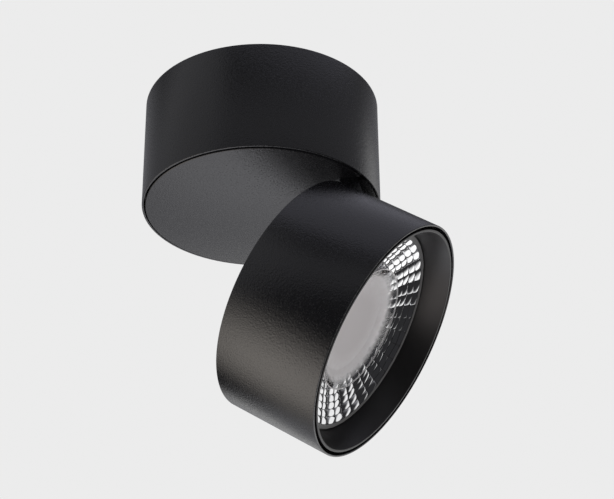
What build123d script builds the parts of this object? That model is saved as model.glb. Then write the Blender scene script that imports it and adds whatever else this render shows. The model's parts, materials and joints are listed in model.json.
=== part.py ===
from build123d import *
import math
import os

# Ceiling spot: a round base on the ceiling, a turntable in its underside and a tilting lamp head.
# Millimetres and degrees. The origin is the centre of the ceiling plane, +Z points up into the ceiling,
# the hinge lies at +X along Y, and the head looks out towards +X and down.

# Overall form
body_radius = 50.0
base_height = 49.0
head_length = 46.3
fold_gap = 2.0
rest_tilt = 56.4
swivel_limit = 175.0

# Fits and clearances
running_fit = 0.05
face_fit = 0.05
thread_fit = 0.05
screw_fit = 0.15
press_fit = 0.02
seat_fit = 0.1
moving_gap = 0.4

# Screws: M3 with a button head and a hexagon socket
screw_radius = 1.5
screw_head_radius = 2.75
screw_head_height = 1.7
screw_socket_radius = 1.15
screw_socket_depth = 1.0

# Base housing
base_wall = 1.7
base_top_edge = 0.5
base_lower_edge = 0.3
base_lower_rim = 0.85
base_lower_rim_depth = 5.0
floor_thickness = 3.0
ledge_depth = 4.0
ledge_height = 3.0
ledge_width = 12.0

# Ceiling bracket
bracket_gauge = 1.5
bracket_width = 24.0
bracket_wall_gap = 0.4
tab_drop = 13.0
hook_drop = 11.0
fixing_spacing = 60.0
fixing_slot_length = 14.0
fixing_slot_width = 4.6
inlet_hole_radius = 7.0
inlet_bore_radius = 4.5
inlet_flange_radius = 9.0
inlet_flange_height = 1.8
earth_screw_place = 15.0
locking_drop = 8.0
locking_screw_inset = 0.3

# Terminal block
terminal_length = 30.0
terminal_depth = 14.0
terminal_height = 12.0
terminal_poles = 3
terminal_pitch = 9.0
terminal_gap = 4.0
terminal_wire_opening = 3.6
terminal_screw_radius = 2.0
terminal_screw_sink = 1.0
terminal_slot_width = 0.7
peg_radius = 1.6
peg_spacing = 18.0

# Lamp driver
driver_gap = 1.2
driver_wall_room = 11.7
driver_height = 18.0
driver_wall = 1.4
driver_ear_length = 7.0
driver_ear_width = 8.0
driver_ear_thickness = 2.0
driver_post_radius = 2.0
driver_post_height = 2.0
board_thickness = 1.6
coil_length = 16.0
coil_height = 9.0
capacitor_radius = 4.0
capacitor_height = 10.0
lid_thickness = 1.4
lid_lip = 1.5

# Turntable and its hub
plate_proud = 0.4
plate_thickness = 3.0
plate_shadow_gap = 0.6
plate_edge = 0.3
hub_radius = 9.0
hub_bore_radius = 6.0
hub_end = 1.0
shoulder_radius = 14.0
shoulder_height = 7.2
lead_window_width = 8.0
lead_window_height = 5.0
friction_ring_thickness = 1.0
spring_thickness = 1.0
spring_rise = 0.6
spring_radius = 12.5
nut_across_flats = 24.0
nut_thickness = 4.5

# Swivel stop
stop_orbit = 30.0
stop_pin_radius = 1.5
stop_pin_seat = 1.8
stop_overlap = 2.0
stop_lug_length = 3.0
stop_gap = 0.15

# Hinge
hinge_inset = 6.2
hinge_depth = 7.9
hinge_relief_reach = 3.5
hinge_relief_depth = 1.2
pin_radius = 2.0
ear_outer = 16.2
ear_thickness = 4.0
ear_root_width = 5.0
ear_root_inset = 1.3
ear_end_radius = 3.4
yoke_thickness = 2.5
yoke_reach = 9.4
yoke_screw_spacing = 14.0
yoke_screw_grip = 2.2
pin_end_inset = 0.2
washer_thickness = 1.2
washer_radius = 3.4
lug_boss_wall = 2.2
lug_arm_length = 9.7
lug_foot_length = 7.0
lug_foot_thickness = 3.0
lug_screw_spacing = 14.0
lug_wall_gap = 0.15
lug_front_gap = 0.6

# Lead grommets in the turntable and in the head's cover
lead_hole_radius = 5.0
lead_bore_radius = 3.0
lead_flange_radius = 6.5
lead_outer_flange = 0.6
lead_inner_flange = 1.0

# Head housing
head_wall = 2.0
front_rim = 0.85
front_rim_depth = 9.0
head_front_edge = 0.35
head_rear_edge = 0.7
sink_ledge_width = 2.0
sink_ledge_height = 2.0

# Rear cover
cover_recess = 0.8
cover_thickness = 2.2
cover_screw_inset = 11.0
cover_screws = 3

# Heat sink
sink_thickness = 3.0
fin_thickness = 1.5
fin_pitch = 6.0
fin_cover_gap = 0.4
sink_rim_gap = 3.0
sink_boss_radius = 3.6
lead_pocket_room = 3.0

# Light source
led_board_width = 19.0
led_board_thickness = 1.5
emitter_radius = 7.25
emitter_thickness = 0.8
holder_radius = 20.0
holder_height = 4.0
holder_opening_radius = 8.2
holder_mouth_radius = 11.0

# Reflector cup and lens
lens_setback = 10.1
flange_thickness = 2.2
flange_lap = 1.5
cup_rim_width = 2.4
cup_depth = 10.0
cup_curve = 1.15
cup_wall = 1.2
cup_facets = 60
cup_rows = 9
cup_neck_gap = 1.5
lens_ring_width = 16.8
lens_sink = 1.8
lens_slope = 7.0
lens_depth = 4.0
lens_wall = 1.2
lens_stem_radius = 12.5
retainer_thickness = 1.8
retainer_width = 2.4

# Baffle
lip_setback = 0.1
lip_width = 1.0
lip_edge = 0.25
baffle_cone_width = 3.9

# Heights in the base, from the ceiling plane down
base_bore = body_radius - base_wall
base_mouth = body_radius - base_lower_rim
base_step = base_lower_rim_depth - base_height
plate_bottom = -base_height - plate_proud
plate_top = plate_bottom + plate_thickness
plate_radius = base_mouth - plate_shadow_gap
shoulder_top = plate_top + shoulder_height
floor_bottom = shoulder_top + friction_ring_thickness + face_fit
floor_top = floor_bottom + floor_thickness
spring_bottom = floor_top + face_fit
nut_bottom = spring_bottom + spring_rise + spring_thickness
nut_top = nut_bottom + nut_thickness
hub_top = nut_top + hub_end

# Hinge axis, with the head folded flat under the base
head_top = -base_height - fold_gap
hinge_x = body_radius - hinge_inset
hinge_z = head_top - hinge_depth
ear_inner = ear_outer - ear_thickness
lug_half_width = ear_inner - washer_thickness - 2 * face_fit
ear_root_end = hinge_x - ear_root_inset
ear_root_start = ear_root_end - ear_root_width
yoke_start = ear_root_end - yoke_reach
lead_place = (shoulder_radius + yoke_start) / 2

# Depths in the head, from its back plane forwards
head_bore = body_radius - head_wall
cover_front = cover_recess + cover_thickness
cover_screw_orbit = head_bore - cover_screw_inset
lug_radius = pin_radius + running_fit + lug_boss_wall
lug_rear = cover_front + fin_cover_gap
sink_front = hinge_depth + lug_radius + lug_front_gap
sink_rear = sink_front - sink_thickness
lead_pocket_start = lead_place - lead_flange_radius - lead_pocket_room
holder_screw_orbit = (holder_mouth_radius + holder_radius) / 2
holder_front = sink_front + holder_height
lens_back = holder_front + seat_fit
lens_front = head_length - lens_setback
lens_mouth = lens_front - lens_sink
flange_rear = lens_front - flange_thickness
retainer_front = flange_rear - face_fit
retainer_rear = retainer_front - retainer_thickness
baffle_radius = head_bore - seat_fit
lip_inner = baffle_radius - lip_width
lens_view_radius = lip_inner - baffle_cone_width
lens_rim_radius = lens_view_radius - lens_ring_width
flange_radius = lens_view_radius + flange_lap
flange_seat_radius = flange_radius + 3 * seat_fit
cup_mouth_radius = lens_view_radius - cup_rim_width
cup_neck_radius = lens_stem_radius + cup_neck_gap

MIN_Z = (Align.CENTER, Align.CENTER, Align.MIN)


def disc(radius, bottom, top):
    """Solid cylinder on the Z axis between two heights."""
    return Pos(0, 0, bottom) * Cylinder(radius, top - bottom, align=MIN_Z)


def ring(outer, inner, bottom, top):
    """Tube on the Z axis between two heights."""
    return disc(outer, bottom, top) - disc(inner, bottom, top)


def block(x, y, z):
    """Box that spans three (low, high) pairs."""
    spans = (x, y, z)
    sizes = [high - low for low, high in spans]
    middles = [(high + low) / 2 for low, high in spans]
    return Pos(*middles) * Box(*sizes)


def turned(outline):
    """Solid of revolution about Z from (radius, height) points."""
    points = [(radius, 0, height) for radius, height in outline]
    return revolve(make_face(Polyline(*points, close=True)), Axis.Z, 360)


def cross_rod(radius, x, z, low, high):
    """Cylinder along Y through (x, z)."""
    rod = Cylinder(radius, high - low)
    return Pos(x, (low + high) / 2, z) * Rot(90, 0, 0) * rod


def socket(bottom, top):
    """Hexagon key socket on the Z axis."""
    return extrude(Pos(0, 0, bottom) * RegularPolygon(screw_socket_radius, 6), top - bottom)


def button_screw(grip):
    """Screw with its head resting on z = 0 and its shank reaching down by the grip."""
    head = disc(screw_head_radius, 0, screw_head_height)
    crown = head.edges().group_by(Axis.Z)[-1]
    head = chamfer(crown, screw_head_height / 2)
    shank = disc(screw_radius, -grip, 0)
    return head + shank - socket(screw_head_height - screw_socket_depth, screw_head_height)


def sunk_screw(grip):
    """Countersunk screw with its flat head at z = 0."""
    sink = screw_head_radius - screw_radius
    outline = [(0, 0), (screw_head_radius, 0), (screw_radius, -sink), (screw_radius, -grip), (0, -grip)]
    return turned(outline) - socket(-screw_socket_depth, 0)


def sunk_hole(depth):
    """Countersunk clearance hole whose mouth is at z = 0."""
    radius = screw_radius + screw_fit
    mouth = screw_head_radius + screw_fit
    return turned([(0, 0), (mouth, 0), (radius, radius - mouth), (radius, -depth), (0, -depth)])


def group(pieces):
    """Several separate solids of one kind in one node."""
    return Compound(children=pieces)


def grommet(hole_radius, bore_radius, flange_radius, bottom, top, lower_flange, upper_flange):
    """Rubber bush with a flange on each side of a plate."""
    waist = hole_radius - press_fit
    return turned([
        (bore_radius, bottom - lower_flange), (flange_radius, bottom - lower_flange), (flange_radius, bottom),
        (waist, bottom), (waist, top), (flange_radius, top), (flange_radius, top + upper_flange),
        (bore_radius, top + upper_flange),
    ])


# Places that several base pieces share
bracket_half = bracket_width / 2
tab_outer = math.sqrt((base_bore - bracket_wall_gap) ** 2 - bracket_half ** 2)
tab_inner = tab_outer - bracket_gauge
hook_outer = base_bore - ledge_depth - bracket_wall_gap
hook_inner = hook_outer - bracket_gauge
hook_top = bracket_gauge - hook_drop
hook_lip = ledge_depth - bracket_wall_gap
ledge_bottom = hook_top + seat_fit
nut_corner = nut_across_flats / math.sqrt(3)
terminal_near = nut_corner + terminal_gap
terminal_middle = terminal_near + terminal_depth / 2
peg_places = [(side * peg_spacing / 2, terminal_middle) for side in (-1, 1)]
driver_near = -nut_corner - driver_gap
driver_far = driver_wall_room - base_bore
driver_width = driver_near - driver_far
driver_half = math.sqrt((base_bore - driver_gap) ** 2 - driver_far ** 2)
driver_middle = (driver_near + driver_far) / 2
driver_lid_bottom = floor_top + driver_height - lid_thickness
driver_screw_places = [(side * (driver_half + driver_ear_length / 2), driver_middle) for side in (-1, 1)]


def make_ceiling_bracket():
    """Steel strip with two ceiling slots, a threaded tab at +Y and a hook at -Y."""
    strip = block((-bracket_half, bracket_half), (-hook_outer, tab_outer), (-bracket_gauge, 0))
    tab = block((-bracket_half, bracket_half), (tab_inner, tab_outer), (-tab_drop, 0))
    hook_side = (-ledge_width / 2, ledge_width / 2)
    drop = block(hook_side, (-hook_outer, -hook_inner), (-hook_drop, 0))
    lip = block(hook_side, (-hook_outer - hook_lip, -hook_inner), (-hook_drop, hook_top))
    bracket = strip + tab + drop + lip
    bracket -= disc(inlet_hole_radius, -bracket_gauge, 0)
    for side in (-1, 1):
        slot = Rot(0, 0, 90) * SlotOverall(fixing_slot_length, fixing_slot_width)
        bracket -= extrude(Pos(0, side * fixing_spacing / 2, -bracket_gauge) * slot, bracket_gauge)
    bracket -= Pos(0, -earth_screw_place, 0) * disc(screw_radius + thread_fit, -bracket_gauge, 0)
    bracket -= cross_rod(screw_radius + thread_fit, 0, -locking_drop, tab_inner, tab_outer)
    return bracket


def make_inlet_grommet():
    """Bush for the mains cable, flush with the ceiling plane."""
    waist = inlet_hole_radius - press_fit
    bottom = -bracket_gauge - inlet_flange_height
    return turned([
        (inlet_bore_radius, 0), (waist, 0), (waist, -bracket_gauge), (inlet_flange_radius, -bracket_gauge),
        (inlet_flange_radius, bottom), (inlet_bore_radius, bottom),
    ])


def make_earth_screw():
    """Earth terminal screw with its head under the bracket."""
    screw = Rot(180, 0, 0) * button_screw(bracket_gauge)
    return Pos(0, -earth_screw_place, -bracket_gauge) * screw


def make_base_housing():
    """Upper cylinder with a thin lower rim, its inner floor, hook ledge, swivel stop and fixing holes."""
    hub_hole = hub_radius + running_fit
    housing = turned([
        (base_bore, 0), (body_radius - base_top_edge, 0), (body_radius, -base_top_edge),
        (body_radius, base_lower_edge - base_height), (body_radius - base_lower_edge, -base_height),
        (base_mouth, -base_height), (base_mouth, base_step), (base_bore, base_step),
        (base_bore, floor_bottom), (hub_hole, floor_bottom), (hub_hole, floor_top), (base_bore, floor_top),
    ])
    ledge = block(
        (-ledge_width / 2, ledge_width / 2),
        (-base_bore - base_wall / 2, ledge_depth - base_bore),
        (ledge_bottom, ledge_bottom + ledge_height),
    )
    lug_bottom = stop_pin_top() - stop_overlap
    lug = block(
        (stop_orbit - stop_lug_length / 2, stop_orbit + stop_lug_length / 2),
        (-stop_lug_half(), stop_lug_half()),
        (lug_bottom, floor_bottom),
    )
    housing += ledge + lug
    housing -= cross_rod(screw_radius + screw_fit, 0, -locking_drop, tab_outer, body_radius)
    for x, y in driver_screw_places:
        housing -= Pos(x, y, 0) * disc(screw_radius + thread_fit, floor_bottom, floor_top)
    for x, y in peg_places:
        housing -= Pos(x, y, 0) * disc(peg_radius + thread_fit, floor_bottom, floor_top)
    return housing


def stop_pin_top():
    """Height of the stop pin's upper end, clear of the floor."""
    return floor_bottom - moving_gap


def stop_lug_half():
    """Half width of the stop lug that ends the swivel at its limit."""
    free_angle = math.radians(180 - swivel_limit)
    return stop_orbit * math.sin(free_angle) - stop_pin_radius - stop_gap


def make_locking_screw():
    """Set screw through the rear of the housing into the bracket's tab."""
    end = body_radius - locking_screw_inset
    start = tab_inner - bracket_gauge
    screw = disc(screw_radius, start, end) - socket(end - screw_socket_depth, end)
    return Pos(0, 0, -locking_drop) * Rot(-90, 0, 0) * screw


def terminal_places():
    """Places of the terminal block's poles along X."""
    first = -terminal_pitch * (terminal_poles - 1) / 2
    return [first + index * terminal_pitch for index in range(terminal_poles)]


def make_terminal_block():
    """Block with a wire tunnel and a screw well for each pole, on two pegs."""
    top = floor_top + terminal_height
    middle = floor_top + terminal_height / 2
    depth = (terminal_near, terminal_near + terminal_depth)
    half = terminal_wire_opening / 2
    body = block((-terminal_length / 2, terminal_length / 2), depth, (floor_top, top))
    for x in terminal_places():
        body -= block((x - half, x + half), depth, (middle - half, middle + half))
        body -= Pos(x, terminal_middle, 0) * disc(terminal_screw_radius + thread_fit, middle, top)
    for x, y in peg_places:
        body += Pos(x, y, 0) * disc(peg_radius, floor_bottom, floor_top)
    return body


def make_terminal_screws():
    """Slotted clamping screws, sunk in the block's wells."""
    bottom = floor_top + terminal_height / 2 + terminal_wire_opening / 2
    top = floor_top + terminal_height - terminal_screw_sink
    screws = []
    for x in terminal_places():
        screw = disc(terminal_screw_radius, bottom, top)
        half = terminal_slot_width / 2
        span = (-terminal_screw_radius, terminal_screw_radius)
        screw -= block(span, (-half, half), (top - terminal_slot_width, top))
        screws.append(Pos(x, terminal_middle, 0) * screw)
    return group(screws)


def make_driver_case():
    """Open tray on the floor, with a fixing ear at each end and posts for the board."""
    x_span = (-driver_half, driver_half)
    y_span = (driver_far, driver_near)
    inside_x = (driver_wall - driver_half, driver_half - driver_wall)
    inside_y = (driver_far + driver_wall, driver_near - driver_wall)
    tray = block(x_span, y_span, (floor_top, driver_lid_bottom))
    tray -= block(inside_x, inside_y, (floor_top + driver_wall, driver_lid_bottom))
    post_bottom = floor_top + driver_wall
    post_x = driver_half - driver_wall - driver_post_radius
    post_y = driver_width / 2 - driver_wall - driver_post_radius
    for x in (-post_x, post_x):
        for y in (driver_middle - post_y, driver_middle + post_y):
            tray += Pos(x, y, 0) * disc(driver_post_radius, post_bottom, post_bottom + driver_post_height)
    ear_y = (driver_middle - driver_ear_width / 2, driver_middle + driver_ear_width / 2)
    ear_z = (floor_top, floor_top + driver_ear_thickness)
    for side in (-1, 1):
        ends = sorted((side * driver_half, side * (driver_half + driver_ear_length)))
        tray += block(tuple(ends), ear_y, ear_z)
    for x, y in driver_screw_places:
        tray -= Pos(x, y, 0) * disc(screw_radius + screw_fit, floor_top, floor_top + driver_ear_thickness)
    return tray


def make_driver_board():
    """Circuit board with its coil and its smoothing capacitor."""
    bottom = floor_top + driver_wall + driver_post_height
    top = bottom + board_thickness
    inset = driver_wall + seat_fit
    board = block((inset - driver_half, driver_half - inset), (driver_far + inset, driver_near - inset),
                  (bottom, top))
    half = coil_length / 2
    coil_y = driver_width / 2 - driver_wall - driver_post_radius
    coil = block((-half, half), (driver_middle - coil_y, driver_middle + coil_y), (top, top + coil_height))
    board += coil
    capacitor_x = half + capacitor_radius + driver_wall
    for x in (-capacitor_x, capacitor_x):
        board += Pos(x, driver_middle, 0) * disc(capacitor_radius, top, top + capacitor_height)
    return board


def make_driver_lid():
    """Lid that drops into the tray on a thin lip."""
    top = driver_lid_bottom + lid_thickness
    lid = block((-driver_half, driver_half), (driver_far, driver_near), (driver_lid_bottom, top))
    inset = driver_wall + seat_fit
    lip_z = (driver_lid_bottom - lid_lip, driver_lid_bottom)
    outer = block((inset - driver_half, driver_half - inset), (driver_far + inset, driver_near - inset), lip_z)
    deep = inset + driver_wall
    inner = block((deep - driver_half, driver_half - deep), (driver_far + deep, driver_near - deep), lip_z)
    return lid + (outer - inner)


def make_driver_screws():
    """Screws through the tray's ears into the floor."""
    height = floor_top + driver_ear_thickness
    grip = driver_ear_thickness + floor_thickness
    return group([Pos(x, y, height) * button_screw(grip) for x, y in driver_screw_places])


# Places that several turntable pieces share
yoke_top = plate_top + yoke_thickness
yoke_screw_x = (yoke_start + ear_root_end) / 2
yoke_screw_places = [(yoke_screw_x, side * yoke_screw_spacing / 2) for side in (-1, 1)]
ear_spans = [(-ear_outer, -ear_inner), (ear_inner, ear_outer)]


def make_turntable_plate():
    """Lower plate with its hollow hub, the ear notches, a relief for the tilting head and the lead hole."""
    plate = turned([
        (0, plate_bottom), (plate_radius - plate_edge, plate_bottom), (plate_radius, plate_bottom + plate_edge),
        (plate_radius, plate_top), (shoulder_radius, plate_top), (shoulder_radius, shoulder_top),
        (hub_radius, shoulder_top), (hub_radius, hub_top), (hub_bore_radius, hub_top),
        (hub_bore_radius, plate_top), (0, plate_top),
    ])
    half = lead_window_width / 2
    plate -= block((0, shoulder_radius), (-half, half), (plate_top, plate_top + lead_window_height))
    for low, high in ear_spans:
        plate -= block(
            (ear_root_start - moving_gap, body_radius),
            (low - moving_gap, high + moving_gap),
            (plate_bottom, plate_top),
        )
    plate -= block(
        (hinge_x - hinge_relief_reach, body_radius),
        (-ear_outer, ear_outer),
        (plate_bottom, plate_bottom + hinge_relief_depth),
    )
    for x, y in yoke_screw_places:
        plate -= Pos(x, y, 0) * disc(screw_radius + thread_fit, plate_top - yoke_screw_grip, plate_top)
    plate -= Pos(-stop_orbit, 0, 0) * disc(stop_pin_radius + press_fit, plate_top - stop_pin_seat, plate_top)
    plate -= Pos(lead_place, 0, 0) * disc(lead_hole_radius, plate_bottom, plate_top)
    return plate


def make_swivel_friction_ring():
    """Nylon ring between the hub's shoulder and the floor."""
    return ring(shoulder_radius, hub_radius + seat_fit, shoulder_top, floor_bottom - face_fit)


def make_swivel_disc_spring():
    """Cupped spring washer that keeps the friction steady."""
    inner = hub_radius + seat_fit
    high = spring_bottom + spring_rise
    return turned([
        (inner, high), (spring_radius, spring_bottom), (spring_radius, spring_bottom + spring_thickness),
        (inner, high + spring_thickness),
    ])


def make_swivel_nut():
    """Thin hexagon nut on the hub's thread."""
    hexagon = RegularPolygon(nut_across_flats / 2, 6, major_radius=False)
    nut = extrude(Pos(0, 0, nut_bottom) * hexagon, nut_thickness)
    return nut - disc(hub_radius + thread_fit, nut_bottom, nut_top)


def make_stop_pin():
    """Pin in the turntable that meets the floor's lug."""
    return Pos(-stop_orbit, 0, 0) * disc(stop_pin_radius, plate_top - stop_pin_seat, stop_pin_top())


def make_hinge_yoke():
    """Bent bracket on the turntable, with two ears that reach down to the pin."""
    yoke = block((yoke_start, ear_root_end), (-ear_outer, ear_outer), (plate_top, yoke_top))
    for low, high in ear_spans:
        eye = Pos(hinge_x, hinge_z) * Circle(ear_end_radius)
        root_height = yoke_top - head_top
        root_middle = (ear_root_start + ear_root_end) / 2
        root = Pos(root_middle, head_top + root_height / 2) * Rectangle(ear_root_width, root_height)
        side = Plane(origin=(0, high, 0), x_dir=(1, 0, 0), z_dir=(0, -1, 0))
        yoke += extrude(side * make_hull([*eye.edges(), *root.edges()]), high - low)
        yoke -= cross_rod(pin_radius + press_fit, hinge_x, hinge_z, low, high)
    for x, y in yoke_screw_places:
        yoke -= Pos(x, y, 0) * disc(screw_radius + screw_fit, plate_top, yoke_top)
    return yoke


def make_yoke_screws():
    """Screws that hold the yoke on the turntable."""
    grip = yoke_thickness + yoke_screw_grip
    return group([Pos(x, y, yoke_top) * button_screw(grip) for x, y in yoke_screw_places])


def make_hinge_pin():
    """Hinge pin, held in the yoke's ears."""
    reach = ear_outer - pin_end_inset
    return cross_rod(pin_radius, hinge_x, hinge_z, -reach, reach)


def make_hinge_washers():
    """Friction washers between the lug and the ears."""
    washers = []
    for side in (-1, 1):
        ends = sorted((side * (lug_half_width + face_fit), side * (ear_inner - face_fit)))
        washer = cross_rod(washer_radius, hinge_x, hinge_z, *ends)
        washers.append(washer - cross_rod(pin_radius + running_fit, hinge_x, hinge_z, *ends))
    return group(washers)


def make_plate_grommet():
    """Bush where the lamp's lead leaves the turntable."""
    bush = grommet(lead_hole_radius, lead_bore_radius, lead_flange_radius, plate_bottom, plate_top,
                   lead_outer_flange, lead_inner_flange)
    return Pos(lead_place, 0, 0) * bush


# The head is modelled folded flat, with its back plane at z = 0 and its front downwards.
cover_angles = [360 * (index + 0.5) / cover_screws for index in range(cover_screws)]


def ear_cuts(depth):
    """Room for the yoke's ears and the washers over the whole tilt, down to a depth in the head."""
    x_span = (ear_root_start - moving_gap, body_radius)
    inner = lug_half_width - seat_fit
    outer = ear_outer + moving_gap
    return [block(x_span, y_span, (-depth, 0)) for y_span in ((-outer, -inner), (inner, outer))]


def make_head_housing():
    """Lower cylinder with a thin front rim, a ledge for the heat sink and the ear slots."""
    front_bore = body_radius - front_rim
    rim_end = front_rim_depth - head_length
    ledge_radius = head_bore - sink_ledge_width
    ledge_front = -sink_front - sink_ledge_height
    housing = turned([
        (head_bore, 0), (body_radius - head_rear_edge, 0), (body_radius, -head_rear_edge),
        (body_radius, head_front_edge - head_length), (body_radius - head_front_edge, -head_length),
        (front_bore, -head_length), (front_bore, rim_end), (head_bore, rim_end), (head_bore, ledge_front),
        (ledge_radius, ledge_front), (ledge_radius, -sink_front), (head_bore, -sink_front),
    ])
    for cut in ear_cuts(hinge_depth + ear_end_radius + 2 * moving_gap):
        housing -= cut
    return housing


def make_rear_cover():
    """Inset back plate with countersunk screws and the lead hole."""
    cover = disc(head_bore - 2 * seat_fit, -cover_front, -cover_recess)
    for cut in ear_cuts(cover_front):
        cover -= cut
    for angle in cover_angles:
        cover -= Rot(0, 0, angle) * Pos(cover_screw_orbit, 0, -cover_recess) * sunk_hole(cover_thickness)
    cover -= Pos(lead_place, 0, 0) * disc(lead_hole_radius, -cover_front, -cover_recess)
    return cover


def make_rear_cover_screws():
    """Countersunk screws through the cover into the heat sink."""
    screw = sunk_screw(sink_front - cover_recess - sink_thickness / 2)
    places = [Rot(0, 0, angle) * Pos(cover_screw_orbit, 0, -cover_recess) for angle in cover_angles]
    return group([place * screw for place in places])


def make_head_grommet():
    """Bush where the lamp's lead enters the head."""
    bush = grommet(lead_hole_radius, lead_bore_radius, lead_flange_radius, -cover_front, -cover_recess,
                   lead_inner_flange, lead_outer_flange)
    return Pos(lead_place, 0, 0) * bush


# Places that the lug and the heat sink share
lug_foot_end = hinge_x - lug_arm_length
lug_foot_start = lug_foot_end - lug_foot_length
lug_screw_x = lug_foot_start + lug_foot_length / 2
lug_screw_places = [(lug_screw_x, side * lug_screw_spacing / 2) for side in (-1, 1)]
hinge_pocket_half = ear_outer + 2 * moving_gap


def make_hinge_lug():
    """Head's half of the hinge: a bored boss on an arm, with a foot on the heat sink."""
    width = (-lug_half_width, lug_half_width)
    boss = cross_rod(lug_radius, hinge_x, -hinge_depth, *width)
    arm = block((lug_foot_end, hinge_x), width, (-sink_rear, -lug_rear))
    foot = block((lug_foot_start, lug_foot_end), width, (-sink_rear, lug_foot_thickness - sink_rear))
    lug = boss + arm + foot
    lug = lug & disc(head_bore - lug_wall_gap, -head_length, 0)
    lug -= cross_rod(pin_radius + running_fit, hinge_x, -hinge_depth, *width)
    for x, y in lug_screw_places:
        lug -= Pos(x, y, 0) * disc(screw_radius + screw_fit, -sink_rear, lug_foot_thickness - sink_rear)
    return lug


def make_lug_screws():
    """Screws that hold the lug's foot on the heat sink."""
    height = lug_foot_thickness - sink_rear
    screw = button_screw(lug_foot_thickness + sink_thickness)
    return group([Pos(x, y, height) * screw for x, y in lug_screw_places])


def make_heat_sink():
    """Round plate with fins at its back, a pocket for the hinge and bosses for the cover's screws."""
    plate = disc(head_bore - seat_fit, -sink_front, -sink_rear)
    fin_back = -cover_front - fin_cover_gap
    fin_zone = disc(head_bore - sink_rim_gap, -sink_rear, fin_back)
    reach = head_bore - sink_rim_gap
    count = math.floor(reach / fin_pitch)
    fins = plate
    for index in range(-count, count + 1):
        middle = index * fin_pitch
        y_span = (middle - fin_thickness / 2, middle + fin_thickness / 2)
        fins += block((-reach, reach), y_span, (-sink_rear, fin_back)) & fin_zone
    fins -= block((lead_pocket_start, body_radius), (-hinge_pocket_half, hinge_pocket_half), (-sink_rear, 0))
    notch_start = hinge_x - lug_radius - moving_gap
    fins -= block((notch_start, body_radius), (-hinge_pocket_half, hinge_pocket_half), (-sink_front, 0))
    for angle in cover_angles:
        place = Rot(0, 0, angle) * Pos(cover_screw_orbit, 0, 0)
        fins += place * disc(sink_boss_radius, -sink_rear, -cover_front)
    for angle in cover_angles:
        place = Rot(0, 0, angle) * Pos(cover_screw_orbit, 0, 0)
        fins -= place * disc(screw_radius + thread_fit, -sink_front, -cover_front)
    for x, y in lug_screw_places:
        fins -= Pos(x, y, 0) * disc(screw_radius + thread_fit, -sink_front, -sink_rear)
    for y in (-holder_screw_orbit, holder_screw_orbit):
        fins -= Pos(0, y, 0) * disc(screw_radius + thread_fit, -sink_front, -sink_rear)
    return fins


def make_led_board():
    """Square board of the light source, on the heat sink."""
    half = led_board_width / 2
    return block((-half, half), (-half, half), (-sink_front - led_board_thickness, -sink_front))


def make_led_emitter():
    """Round light emitting surface on the board."""
    top = -sink_front - led_board_thickness
    return disc(emitter_radius, top - emitter_thickness, top)


def make_led_holder():
    """White ring that presses the board onto the heat sink and carries the lens and the reflector."""
    holder = disc(holder_radius, -holder_front, -sink_front)
    half = led_board_width / 2 + seat_fit
    pocket_end = -sink_front - led_board_thickness - face_fit
    holder -= block((-half, half), (-half, half), (pocket_end, -sink_front))
    holder -= turned([
        (0, pocket_end), (holder_opening_radius, pocket_end), (holder_mouth_radius, -holder_front),
        (0, -holder_front),
    ])
    for y in (-holder_screw_orbit, holder_screw_orbit):
        holder -= Pos(0, y, -holder_front) * Rot(180, 0, 0) * sunk_hole(holder_height)
    return holder


def make_holder_screws():
    """Countersunk screws through the holder into the heat sink."""
    screw = Rot(180, 0, 0) * sunk_screw(holder_height + sink_thickness / 2)
    return group([Pos(0, y, -holder_front) * screw for y in (-holder_screw_orbit, holder_screw_orbit)])


def cup_ring(row):
    """Radius and height of one ring of facet corners, counted from the neck to the mouth."""
    share = row / cup_rows
    radius = cup_neck_radius + (cup_mouth_radius - cup_neck_radius) * share
    return radius, cup_depth * (1 - share ** cup_curve) - lens_front


def make_reflector_cup():
    """Bright cup with rows of facets inside, a flange at its mouth and a neck over the emitter."""
    neck_outer = cup_neck_radius + cup_wall
    shell = [(radius, height + cup_wall) for radius, height in map(cup_ring, range(cup_rows))]
    shell = [(radius, height) for radius, height in shell if radius > neck_outer and height > -flange_rear]
    cup = turned([
        (0, -lens_back), (neck_outer, -lens_back), (neck_outer, cup_ring(0)[1] + cup_wall), *shell,
        (cup_mouth_radius, -flange_rear), (flange_radius, -flange_rear), (flange_radius, -lens_front),
        (0, -lens_front),
    ])
    rows = []
    for row in range(cup_rows + 1):
        radius, height = cup_ring(row)
        rows.append(Pos(0, 0, height) * RegularPolygon(radius, cup_facets))
    cup -= loft(rows, ruled=True)
    return cup - disc(cup_neck_radius, cup_ring(0)[1], -lens_back)


def make_lens():
    """Clear lens: a dish with a conical wall and a frosted floor, on a hollow stem over the emitter."""
    floor = lens_depth - lens_mouth
    back = floor + lens_wall
    floor_radius = lens_rim_radius - lens_slope
    lip = lens_wall / 3
    return turned([
        (0, floor), (floor_radius, floor), (lens_rim_radius - lip, -lens_mouth), (lens_rim_radius, -lens_mouth),
        (lens_rim_radius, lip - lens_mouth), (floor_radius, back), (lens_stem_radius, back),
        (lens_stem_radius, -lens_back), (lens_stem_radius - lens_wall, -lens_back),
        (lens_stem_radius - lens_wall, back), (0, back),
    ])


def make_cup_retainer():
    """Ring that keeps the reflector's flange in the baffle's seat."""
    outer = flange_seat_radius - seat_fit / 2
    return ring(outer, outer - retainer_width, -retainer_front, -retainer_rear)


def make_baffle():
    """Black anti-glare cone with a narrow front lip and a seat for the reflector."""
    lip_front = lip_setback - head_length
    return turned([
        (baffle_radius, -retainer_rear), (baffle_radius, lip_front + lip_edge),
        (baffle_radius - lip_edge, lip_front), (lip_inner + lip_edge, lip_front),
        (lip_inner, lip_front + lip_edge), (lens_view_radius, -lens_front),
        (flange_seat_radius, -lens_front), (flange_seat_radius, -retainer_rear),
    ])


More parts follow.
